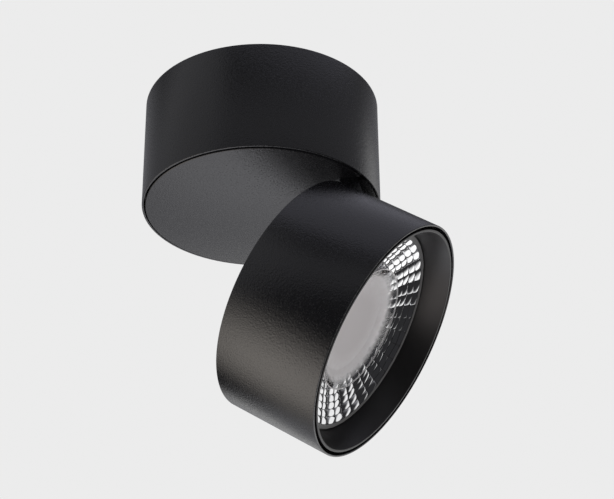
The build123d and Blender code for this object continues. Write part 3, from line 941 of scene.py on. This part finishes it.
@dataclass
class Turntable:
    """Lower plate with its hollow hub."""

    radius: float
    bottom: float
    hub_top: float
    shoulder_top: float
    lead_place: float
    thickness: float = 3.0 * MM
    edge: float = 0.3 * MM
    shoulder_radius: float = 14.0 * MM
    hub_radius: float = 9.0 * MM
    hub_bore: float = 6.0 * MM
    notch_start: float = 37.1 * MM
    notch_inner: float = 11.8 * MM
    notch_outer: float = 16.6 * MM
    relief_start: float = 40.3 * MM
    relief_half: float = 16.2 * MM
    relief_depth: float = 1.2 * MM
    lead_radius: float = 5.0 * MM
    tool_margin: float = 0.1 * MM

    def build(self) -> Piece:
        """Turn the plate and cut the ear notches, the relief for the tilting head and the lead hole.

        Returns:
            The finished plate.
        """
        top = self.bottom + self.thickness
        plate = Bench.turn("turntable_disc", [
            (0.0, self.bottom), (self.radius, self.bottom), (self.radius, top), (self.shoulder_radius, top),
            (self.shoulder_radius, self.shoulder_top), (self.hub_radius, self.shoulder_top),
            (self.hub_radius, self.hub_top), (self.hub_bore, self.hub_top), (self.hub_bore, top), (0.0, top),
        ], AROUND)
        Bench.break_edges(plate, self.edge)
        under = self.bottom - self.thickness
        over = top + self.tool_margin
        outside = self.radius + self.thickness
        for side in (-1, 1):
            start, end = sorted((side * self.notch_inner, side * self.notch_outer))
            notch = Bench.block((self.notch_start, start, under), (outside, end, over))
            Bench.combine(plate, notch, Cut.REMOVE)
        relief = Bench.block((self.relief_start, -self.relief_half, under),
                             (outside, self.relief_half, self.bottom + self.relief_depth))
        Bench.combine(plate, relief, Cut.REMOVE)
        hole = Bench.rod(self.lead_radius, (self.lead_place, 0.0, under), (self.lead_place, 0.0, over))
        Bench.combine(plate, hole, Cut.REMOVE)
        Bench.smooth(plate)
        return plate

    def dress(self) -> None:
        """Build the plate and give it its finish."""
        keep(self.build(), Body.TURNTABLE, Slot.POWDER, "turntable_plate")


@dataclass
class LampHead:
    """Lower cylinder: its housing, back cover and baffle.

    It is modelled folded flat with its back on z = 0 and its front downwards, then swung out about the hinge.
    """

    radius: float
    length: float
    hinge: Vector
    rest_tilt: float
    lead_place: float
    hinge_depth: float = 7.9 * MM
    wall: float = 2.0 * MM
    front_rim: float = 0.85 * MM
    front_rim_depth: float = 9.0 * MM
    rear_edge: float = 0.35 * MM
    front_edge: float = 0.18 * MM
    slot_start: float = 37.1 * MM
    slot_inner: float = 10.8 * MM
    slot_outer: float = 16.6 * MM
    slot_depth: float = 12.1 * MM
    cover_recess: float = 0.8 * MM
    cover_front: float = 3.0 * MM
    cover_gap: float = 0.2 * MM
    cover_orbit: float = 37.0 * MM
    cover_hole: float = 1.65 * MM
    cover_sink: float = 2.9 * MM
    cover_screw_count: int = 3
    lead_radius: float = 5.0 * MM
    baffle_gap: float = 0.1 * MM
    lip_setback: float = 0.1 * MM
    lip_width: float = 1.0 * MM
    cone_width: float = 3.9 * MM
    lens_setback: float = 10.1 * MM
    flange_lap: float = 1.5 * MM
    seat_gap: float = 0.3 * MM
    baffle_rear: float = 32.15 * MM
    tool_margin: float = 1.0 * MM
    swing: Matrix = field(init=False)

    def __post_init__(self) -> None:
        """Work out the swing from the folded place to the place at rest."""
        turn = Matrix.Rotation(-self.rest_tilt, 4, "Y")
        back = Matrix.Translation((-self.hinge.x, 0.0, self.hinge_depth))
        self.swing = Matrix.Translation(self.hinge) @ turn @ back

    @property
    def bore(self) -> float:
        """Inner radius of the housing."""
        return self.radius - self.wall

    @property
    def baffle_radius(self) -> float:
        """Outer radius of the baffle."""
        return self.bore - self.baffle_gap

    @property
    def view_radius(self) -> float:
        """Radius of the lens that the baffle leaves in view."""
        return self.baffle_radius - self.lip_width - self.cone_width

    def ear_slots(self, piece: Piece, depth: float) -> None:
        """Cut the slots that the yoke's ears swing in.

        Args:
            piece: The housing or the cover.
            depth: Depth of the slots from the back plane.
        """
        for side in (-1, 1):
            start, end = sorted((side * self.slot_inner, side * self.slot_outer))
            slot = Bench.block((self.slot_start, start, -depth), (self.radius + self.wall, end, self.wall))
            Bench.combine(piece, slot, Cut.REMOVE)

    def housing(self) -> Piece:
        """Turn the housing with its thin front rim.

        Returns:
            The housing at rest.
        """
        front_bore = self.radius - self.front_rim
        rim_end = self.front_rim_depth - self.length
        shell = Bench.turn("head_shell", [
            (self.bore, 0.0), (self.radius, 0.0), (self.radius, -self.length), (front_bore, -self.length),
            (front_bore, rim_end), (self.bore, rim_end),
        ], AROUND)
        Bench.break_edges(shell, self.rear_edge)
        self.ear_slots(shell, self.slot_depth)
        Bench.smooth(shell)
        Bench.place(shell, self.swing)
        return shell

    def cover(self) -> Piece:
        """Turn the back cover and bore its screw holes and lead hole.

        Returns:
            The cover at rest.
        """
        outer = self.bore - self.cover_gap
        cover = Bench.turn("back_cover", [
            (0.0, -self.cover_recess), (outer, -self.cover_recess), (outer, -self.cover_front),
            (0.0, -self.cover_front),
        ], AROUND)
        Bench.break_edges(cover, self.rear_edge)
        self.ear_slots(cover, self.cover_front + self.wall)
        behind, before = self.tool_margin, -self.cover_front - self.tool_margin
        sink_end = -self.cover_recess - (self.cover_sink - self.cover_hole)
        for index in range(self.cover_screw_count):
            angle = math.tau * (index + 0.5) / self.cover_screw_count
            hole = Bench.turn("screw_hole", [
                (0.0, behind), (self.cover_sink, behind), (self.cover_sink, -self.cover_recess),
                (self.cover_hole, sink_end), (self.cover_hole, before), (0.0, before),
            ], HOLE_AROUND)
            spot = (self.cover_orbit * math.cos(angle), self.cover_orbit * math.sin(angle), 0.0)
            Bench.place(hole, Matrix.Translation(spot))
            Bench.combine(cover, hole, Cut.REMOVE)
        lead = Bench.rod(self.lead_radius, (self.lead_place, 0.0, before), (self.lead_place, 0.0, behind))
        Bench.combine(cover, lead, Cut.REMOVE)
        Bench.smooth(cover)
        Bench.place(cover, self.swing)
        return cover

    def baffle(self) -> Piece:
        """Turn the anti-glare cone with its narrow lip.

        Returns:
            The baffle at rest.
        """
        lip_front = self.lip_setback - self.length
        lip_inner = self.baffle_radius - self.lip_width
        lens_front = self.lens_setback - self.length
        seat = self.view_radius + self.flange_lap + self.seat_gap
        cone = Bench.turn("glare_baffle", [
            (self.baffle_radius, -self.baffle_rear), (self.baffle_radius, lip_front), (lip_inner, lip_front),
            (self.view_radius, lens_front), (seat, lens_front), (seat, -self.baffle_rear),
        ], AROUND)
        Bench.break_edges(cone, self.front_edge)
        Bench.smooth(cone)
        Bench.place(cone, self.swing)
        return cone

    def dress(self) -> None:
        """Build the head's pieces and give them their finishes."""
        keep(self.housing(), Body.HEAD, Slot.POWDER, "head_housing")
        keep(self.cover(), Body.HEAD, Slot.POWDER, "rear_cover")
        keep(self.baffle(), Body.HEAD, Slot.BLACK_PLASTIC, "baffle")


@dataclass
class LightOpening:
    """Light opening of the head: a faceted reflector cup and a clear lens with a frosted floor in it.

    Both are modelled on the folded head's axis, with the front downwards, and swung out with the head.
    """

    view_radius: float
    front: float
    swing: Matrix
    flange_lap: float
    flange_thickness: float = 2.2 * MM
    rim_width: float = 2.4 * MM
    cup_wall: float = 1.2 * MM
    cup_back: float = 16.85 * MM
    cup_depth: float = 10.0 * MM
    neck_radius: float = 14.0 * MM
    cup_curve: float = 1.15
    facets: int = 40
    rows: int = 10
    groove: float = 0.1 * MM
    groove_rise: float = 0.06 * MM
    pillow_steps: tuple[tuple[float, float], ...] = ((0.25 * MM, 0.085 * MM), (0.4 * MM, 0.09 * MM))
    pillow_top: float = 0.16 * MM
    column_lift: float = 0.3 * MM
    row_lift: float = 0.15 * MM
    rim_gap: float = 0.5 * MM
    rim_gap_depth: float = 0.6 * MM
    rim_gap_lap: float = 0.1 * MM
    ring_slack: float = 0.05 * MM
    facet_facing: float = 0.1
    smooth_angle: float = 32.0
    lens_inset: float = 16.8 * MM
    lens_sink: float = 1.8 * MM
    lens_slope: float = 7.0 * MM
    lens_depth: float = 4.0 * MM
    lens_wall: float = 1.2 * MM
    lens_lip: float = 0.4 * MM
    stem_radius: float = 12.5 * MM
    lens_edge: float = 0.12 * MM

    def lens(self) -> Piece:
        """Turn the clear lens: a dish with a conical wall and a flat floor, on a hollow stem.

        Returns:
            The lens at rest.
        """
        rim = self.view_radius - self.lens_inset
        floor_radius = rim - self.lens_slope
        stem_bore = self.stem_radius - self.lens_wall
        mouth = self.front + self.lens_sink
        floor = mouth + self.lens_depth
        back = floor + self.lens_wall
        lens = Bench.turn("lens_dish", [
            (0.0, floor), (floor_radius, floor), (rim - self.lens_lip, mouth), (rim, mouth),
            (rim, mouth + self.lens_lip), (floor_radius, back), (self.stem_radius, back),
            (self.stem_radius, -self.cup_back), (stem_bore, -self.cup_back), (stem_bore, back), (0.0, back),
        ], AROUND)
        Bench.break_edges(lens, self.lens_edge)
        Bench.smooth(lens)
        Bench.place(lens, self.swing)
        return lens

    def cup_rings(self) -> list[tuple[float, float]]:
        """Lay out the cup's inner face.

        Returns:
            Radius and height of each ring, from the front to the neck.
        """
        start, end = self.front, self.front + self.cup_depth
        outer = self.view_radius - self.rim_width
        rings = []
        for row in range(self.rows, -1, -1):
            share = row / self.rows
            radius = self.neck_radius + (outer - self.neck_radius) * share
            rings.append((radius, end + (start - end) * share ** self.cup_curve))
        return rings

    def stagger(self, cup: Piece) -> None:
        """Lift every other column and row of the inner face's corners, so that neighbouring facets differ.

        Args:
            cup: The turned cup.
        """
        radii = [radius for radius, _ in self.cup_rings()][1:-1]

        def row_of(point: Vector) -> int:
            """Number of the inner ring that a corner lies on, or -1."""
            reach = math.hypot(point.x, point.y)
            near = (row for row, radius in enumerate(radii) if abs(reach - radius) < self.ring_slack)
            return next(near, -1)

        def in_odd_column(index: int, point: Vector) -> bool:
            """Whether a corner lies on an odd column of the inner face."""
            column = round(math.atan2(point.y, point.x) / math.tau * self.facets)
            return row_of(point) >= 0 and column % 2 == 1

        def in_odd_row(index: int, point: Vector) -> bool:
            """Whether a corner lies on an odd row of the inner face."""
            row = row_of(point)
            return row >= 0 and row % 2 == 1

        for wanted, lift in ((in_odd_column, self.column_lift), (in_odd_row, self.row_lift)):
            Bench.select_points(cup, wanted)
            with Bench.editing(cup):
                bpy.ops.transform.translate(value=(0.0, 0.0, lift))

    def cup(self) -> Piece:
        """Turn the reflector cup and shape the facets of its inner face.

        Returns:
            The cup at rest.
        """
        inner = self.cup_rings()
        flange = self.view_radius + self.flange_lap
        rear = self.front + self.flange_thickness
        gap_outer = self.view_radius + self.rim_gap_lap
        gap_inner = self.view_radius - self.rim_gap
        gap_floor = self.front + self.rim_gap_depth
        outer = [(radius + self.cup_wall, height + self.cup_wall) for radius, height in reversed(inner[1:])]
        neck = self.neck_radius + self.cup_wall
        cup = Bench.turn("reflector_facets", [
            *inner, (self.neck_radius, -self.cup_back), (neck, -self.cup_back), *outer,
            (outer[-1][0], rear), (flange, rear), (flange, self.front), (gap_outer, self.front),
            (gap_outer, gap_floor), (gap_inner, gap_floor), (gap_inner, self.front),
        ], self.facets)
        self.stagger(cup)
        self.raise_facets(cup)
        Bench.smooth(cup, self.smooth_angle)
        Bench.place(cup, self.swing)
        return cup

    def raise_facets(self, cup: Piece) -> None:
        """Give the cup its finishes and raise a bright pillow on each facet, between grooves that are painted dark
        in black plastic.

        Args:
            cup: The turned cup.
        """
        def is_facet(centre: Vector, normal: Vector) -> bool:
            """Whether a face belongs to the bright inner side."""
            inward = -(centre.x * normal.x + centre.y * normal.y) / math.hypot(centre.x, centre.y)
            return inward > self.facet_facing and normal.z < -self.facet_facing

        count = Bench.select_faces(cup, is_facet)
        LOG.info("the cup has %d facets", count)
        bright, grey, painted_dark = range(3)
        FINISHES[Slot.FACETS].wear(cup)
        cup.data.materials.append(RIM_GREY.material())
        cup.data.materials.append(FINISHES[Slot.BLACK_PLASTIC].material())
        # Black plastic on the grooves between facets is a painted dark reflection, and on the shadow gap at the
        # rim a painted shade
        black_start = self.view_radius - self.rim_gap - self.rim_gap_lap
        for polygon in cup.data.polygons:
            in_gap = math.hypot(polygon.center.x, polygon.center.y) > black_start
            polygon.material_index = painted_dark if polygon.select or in_gap else grey
        with Bench.editing(cup):
            bpy.ops.mesh.inset(thickness=self.groove, depth=self.groove_rise, use_individual=True)
            cup.active_material_index = bright
            bpy.ops.object.material_slot_assign()
            for width, rise in self.pillow_steps:
                bpy.ops.mesh.inset(thickness=width, depth=rise, use_individual=True)
            bpy.ops.mesh.poke(offset=self.pillow_top)

    def dress(self) -> None:
        """Build the lens and the cup and give them their finishes."""
        centre = self.swing @ Vector((0.0, 0.0, self.front))
        axis = self.swing.to_3x3() @ Vector((0.0, 0.0, 1.0))
        lens = self.lens()
        replace(FINISHES[Slot.LENS], centre=tuple(centre), axis=tuple(axis)).wear(lens)
        keep(lens, Body.HEAD, Slot.LENS, "lens")
        keep(self.cup(), Body.HEAD, Slot.FACETS, "reflector_cup")


@dataclass
class Hardware:
    """Brackets, screws and electrical pieces that keep their CAD shapes."""

    replaced: set[str]

    def dress(self) -> None:
        """Give every carried-over CAD node the finish of its slot."""
        slots = {part["node"]: part["material_slot"] for part in frame["record"]["subparts"]}
        for name, node in frame["nodes"].items():
            if name in self.replaced:
                continue
            FINISHES[Slot(slots[name])].wear(node)
            LOG.info("%s keeps its shape and gets %s", name, slots[name])


@dataclass
class PhotoCamera:
    """Camera at the photograph's viewing angle, from a fit of the base's and the head's circles.

    The width, the height, the focal length and the anchor's place in the picture are in pixels.
    """

    anchor: Vector
    width: int = 614
    height: int = 499
    focal: float = 1627.0
    anchor_pixel: tuple[float, float] = (261.36, 209.43)
    depth: float = 682.5 * MM
    azimuth: float = math.radians(13.25)
    drop: float = math.radians(28.66)
    roll: float = math.radians(-0.48)
    sensor: float = 36.0
    nearest: float = 10.0 * MM

    def build(self) -> None:
        """Place the camera below the lamp, looking up."""
        back = Vector((
            math.sin(self.azimuth) * math.cos(self.drop),
            -math.cos(self.azimuth) * math.cos(self.drop),
            -math.sin(self.drop),
        ))
        level = (-back).cross(Vector((0.0, 0.0, 1.0))).normalized()
        raised = level.cross(-back).normalized()
        right = math.cos(self.roll) * level + math.sin(self.roll) * raised
        up = math.cos(self.roll) * raised - math.sin(self.roll) * level
        across = (self.anchor_pixel[0] - self.width / 2) / self.focal * self.depth
        above = -(self.anchor_pixel[1] - self.height / 2) / self.focal * self.depth
        place = self.anchor - across * right - above * up + self.depth * back
        bpy.ops.object.camera_add()
        camera = bpy.context.object
        camera.name = "photo_camera"
        camera.data.sensor_fit = "HORIZONTAL"
        camera.data.sensor_width = self.sensor
        camera.data.lens = self.focal * self.sensor / self.width
        camera.data.clip_start = self.nearest
        turn = Matrix((right, up, back)).transposed().to_4x4()
        camera.matrix_world = Matrix.Translation(place) @ turn
        bpy.context.scene.camera = camera


@dataclass(frozen=True)
class Softbox:
    """A soft studio lamp that looks at the middle of the object and isn't mirrored in it."""

    name: str
    place: Point
    size: tuple[float, float]
    brightness: float
    colour: Colour
    target: Point = (0.03, 0.0, -0.09)

    def build(self) -> None:
        """Add the lamp. Its power follows from its brightness and its size."""
        bpy.ops.object.light_add(type="AREA")
        lamp = bpy.context.object
        lamp.name = self.name
        lamp.data.shape = "RECTANGLE"
        lamp.data.size, lamp.data.size_y = self.size
        lamp.data.energy = self.brightness * math.pi * self.size[0] * self.size[1]
        lamp.data.color = self.colour
        aim = Vector(self.target) - Vector(self.place)
        turn = aim.to_track_quat("-Z", "Y").to_matrix().to_4x4()
        lamp.matrix_world = Matrix.Translation(self.place) @ turn
        lamp.visible_glossy = False


@dataclass(frozen=True)
class Patch:
    """A soft round patch of the surroundings.

    The centre is a direction to the right, to the back and up. The span holds the cosines of the
    angles at which the patch starts and is full. A peaked patch has no even middle.
    """

    centre: Point
    span: tuple[float, float]
    colour: Colour
    peaked: bool = False

    def over(self, graph: Graph, look: Socket, behind: Any, shown: Any = 1.0) -> Socket:
        """Lay the patch over what is behind it.

        Args:
            graph: The world's graph.
            look: The direction that is looked at.
            behind: Colour of the surroundings without the patch.
            shown: Share of the patch that a ray sees.

        Returns:
            Colour of the surroundings with the patch.
        """
        middle = tuple(Vector(self.centre).normalized())
        facing = Signal(graph, graph.vector("DOT_PRODUCT", look, middle, "Value"))
        start, full = self.span
        share = ((facing - start) / (full - start)).limited(0.0, 1.0)
        rise = share * share if self.peaked else share.eased()
        return graph.blend(rise * shown, behind, rgba(self.colour))


@dataclass
class Studio:
    """Surroundings, a floor far below the ceiling lamp, and soft lamps.

    Each patch of the surroundings lies over those before it.
    """

    backdrop: Colour = BACKDROP
    dim: Colour = (0.028, 0.028, 0.03)
    patches: tuple[Patch, ...] = (
        Patch((0.0, 0.0, 1.0), (0.0, 0.35), (0.29, 0.29, 0.31)),
        Patch((0.0, 0.0, 1.0), (0.45, 0.7), (0.08, 0.08, 0.085)),
        Patch((-0.75, -0.45, 0.5), (0.78, 0.95), (0.4, 0.4, 0.42)),
        Patch((0.16, -0.02, 0.98), (0.72, 0.84), (0.45, 0.45, 0.52)),
        Patch((-0.3, -0.1, -0.95), (0.75, 0.95), (1.4, 1.29, 1.27)),
        Patch((0.6, 0.75, 0.15), (0.9, 0.96), (1.0, 1.0, 1.0)),
        Patch((0.34, 0.89, -0.3), (0.945, 0.98), (1.4, 1.4, 1.4)),
        Patch((-0.42, 0.77, -0.48), (0.9, 0.96), (0.52, 0.52, 0.55)),
        Patch((-0.1, 0.62, -0.78), (0.89, 0.97), (1.45, 1.45, 1.52)),
        Patch((-0.82, -0.12, -0.57), (0.66, 1.0), (2.55, 2.37, 2.18), peaked=True),
    )
    behind_centre: Point = (0.0, 0.95, -0.25)
    behind_span: tuple[float, float] = (0.72, 0.84)
    floor_drop: float = 2.3
    floor_half: float = 40.0
    lamps: tuple[Softbox, ...] = (
        Softbox("left_softbox", (-0.8, -0.1, -0.6), (0.9, 0.5), 1.2, (1.0, 0.94, 0.87)),
        Softbox("front_softbox", (0.75, -0.2, -0.95), (0.8, 0.8), 2.0, (1.0, 0.97, 0.95)),
    )

    def world(self) -> None:
        """Dim surroundings with paler patches above, below and behind the lamp, on a pale backdrop."""
        world = bpy.data.worlds.new("studio")
        bpy.context.scene.world = world
        world.use_nodes = True
        graph = Graph(world.node_tree)
        look = graph.node("ShaderNodeTexCoord", {}, {}).outputs["Generated"]
        rays = graph.node("ShaderNodeLightPath", {}, {})
        glossy = graph.signal(rays, "Is Glossy Ray")
        mirrored = (glossy + graph.signal(rays, "Is Transmission Ray")).limited(0.0, 1.0)
        behind = Patch(self.behind_centre, self.behind_span, self.backdrop)
        around = behind.over(graph, look, rgba(self.dim), mirrored)
        for patch in self.patches:
            around = patch.over(graph, look, around)
        colour = graph.blend(graph.signal(rays, "Is Camera Ray"), around, rgba(self.backdrop))
        sky = graph.node("ShaderNodeBackground", {}, {"Color": colour, "Strength": 1.0})
        graph.node("ShaderNodeOutputWorld", {}, {"Surface": sky.outputs[0]})

    def floor(self) -> None:
        """Plain pale floor, well below the lamp."""
        bpy.ops.object.select_all(action="DESELECT")
        bpy.ops.mesh.primitive_plane_add(size=2 * self.floor_half, location=(0.0, 0.0, -self.floor_drop))
        floor = bpy.context.object
        floor.name = "studio_floor"
        bpy.ops.object.transform_apply(location=True, rotation=True, scale=True)
        FLOOR.wear(floor)
        floor.visible_glossy = False

    def build(self) -> None:
        """Set the stage."""
        bpy.context.scene.view_settings.view_transform = "Standard"
        self.world()
        self.floor()
        for lamp in self.lamps:
            lamp.build()


def main() -> None:
    """Build the lamp's pieces, the camera and the stage in order."""
    logging.basicConfig(level=logging.INFO, format="%(name)s: %(message)s")
    bpy.ops.object.select_all(action="DESELECT")
    base_size = size_of("base_housing")
    BaseShell(radius=base_size.y / 2, height=base_size.z, floor_top=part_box("driver_case")[0].z).dress()
    plate_low, plate_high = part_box("turntable_plate")
    lead_low, lead_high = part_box("plate_grommet")
    lead_place = (lead_low.x + lead_high.x) / 2
    Turntable(
        radius=(plate_high.y - plate_low.y) / 2, bottom=plate_low.z, hub_top=plate_high.z,
        shoulder_top=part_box("swivel_friction_ring")[0].z, lead_place=lead_place,
    ).dress()
    tilt = next(joint for joint in frame["joints"] if joint["name"] == "tilt")
    rest_tilt = math.radians(-tilt["range_deg"][0])
    head_size = size_of("head_housing")
    facing = Vector((math.sin(rest_tilt), 0.0, -math.cos(rest_tilt)))
    reaches = [facing.dot(vertex.co) for vertex in frame["nodes"]["head_housing"].data.vertices]
    length = max(reaches) - min(reaches)
    head = LampHead(
        radius=head_size.y / 2, length=length, hinge=Vector(tilt["pos_m"]), rest_tilt=rest_tilt,
        lead_place=lead_place,
    )
    head.dress()
    LightOpening(
        view_radius=head.view_radius, front=head.lens_setback - length, swing=head.swing,
        flange_lap=head.flange_lap,
    ).dress()
    Hardware({
        "base_housing", "turntable_plate", "head_housing", "rear_cover", "baffle", "lens", "reflector_cup",
    }).dress()
    PhotoCamera(anchor=Vector((0.0, 0.0, -base_size.z))).build()
    Studio().build()


if __name__ == "__main__":
    main()
